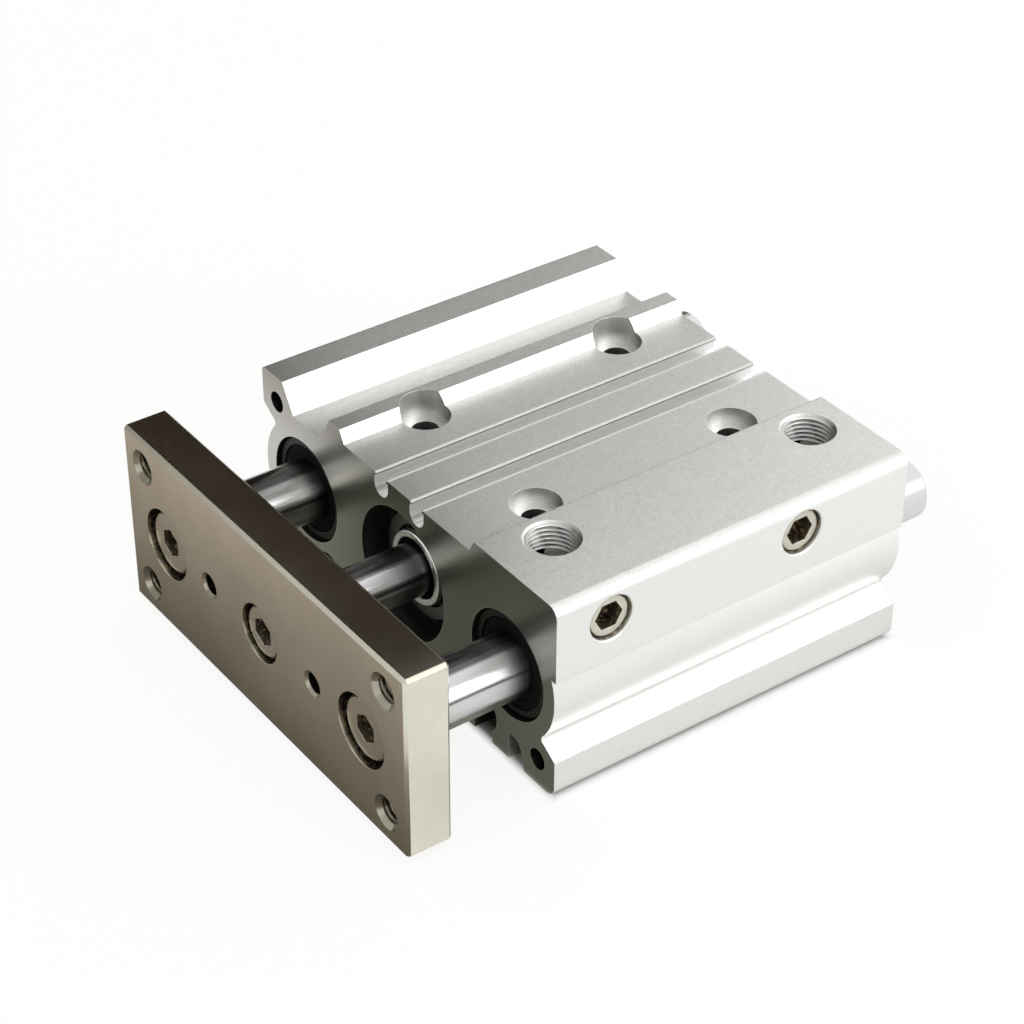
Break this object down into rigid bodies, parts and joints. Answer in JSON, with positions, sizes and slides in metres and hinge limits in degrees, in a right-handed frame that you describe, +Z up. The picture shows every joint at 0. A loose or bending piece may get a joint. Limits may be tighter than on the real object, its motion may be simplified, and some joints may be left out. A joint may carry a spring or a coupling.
{
  "type": "guided pneumatic cylinder",
  "caption": "Compact air cylinder with a guide rod on each side in ball bushings, carrying a drilled tooling plate that slides out of an extruded body.",
  "frame": {"origin": "centre of the body's underside, on the face it is bolted down on", "axes": "+Y from the tooling plate to the rear, along the stroke; +Z up from the underside; +X towards the side with the ports"},
  "size_m": [0.0918, 0.1223, 0.0405],
  "materials": {
    "body_anodised": "bead-blasted, clear anodised, satin",
    "plate_nickel": "nickel plated, satin, warm grey",
    "rod_chrome": "hard chrome, polished",
    "screw_nickel": "nickel plated",
    "cover_alloy": "turned, anodised",
    "pressed_steel": "bright pressed steel",
    "seal_rubber": "matt black nitrile",
    "bush_bronze": "sintered bronze",
    "ring_steel": "dark phosphated spring steel",
    "wear_resin": "filled resin",
    "magnet_ferrite": "bonded ferrite",
    "bumper_urethane": "amber urethane",
    "bearing_steel": "ground bearing steel",
    "cage_resin": "black resin"
  },
  "bodies": {
    "housing": {"housing": "body_anodised", "port_plugs": "screw_nickel", "rod_cover": "cover_alloy", "head_cover": "cover_alloy", "wiper_case": "pressed_steel", "wiper_lip": "seal_rubber", "rod_seal": "seal_rubber", "rod_bush": "bush_bronze", "rod_cover_o_ring": "seal_rubber", "head_cover_o_ring": "seal_rubber", "front_retaining_ring": "ring_steel", "rear_retaining_ring": "ring_steel", "passage_ball": "bearing_steel", "front_left_bushing_sleeve": "bearing_steel", "front_left_bushing_cage": "cage_resin", "front_left_bushing_balls": "bearing_steel", "front_left_bushing_seals": "seal_rubber", "front_right_bushing_sleeve": "bearing_steel", "front_right_bushing_cage": "cage_resin", "front_right_bushing_balls": "bearing_steel", "front_right_bushing_seals": "seal_rubber", "rear_left_bushing_sleeve": "bearing_steel", "rear_left_bushing_cage": "cage_resin", "rear_left_bushing_balls": "bearing_steel", "rear_left_bushing_seals": "seal_rubber", "rear_right_bushing_sleeve": "bearing_steel", "rear_right_bushing_cage": "cage_resin", "rear_right_bushing_balls": "bearing_steel", "rear_right_bushing_seals": "seal_rubber"},
    "carriage": {"tooling_plate": "plate_nickel", "piston_rod": "rod_chrome", "guide_rod_left": "rod_chrome", "guide_rod_right": "rod_chrome", "rod_bolt": "screw_nickel", "guide_bolts": "screw_nickel", "piston": "cover_alloy", "piston_seal": "seal_rubber", "wear_ring": "wear_resin", "magnet_ring": "magnet_ferrite", "piston_screw": "ring_steel", "front_bumper": "bumper_urethane", "rear_bumper": "bumper_urethane"}
  },
  "joints": [
    {"name": "extension", "type": "slide", "parent": "housing", "child": "carriage", "axis": [0, -1, 0], "range_m": [-0.0148, 0.0252]}
  ]
}
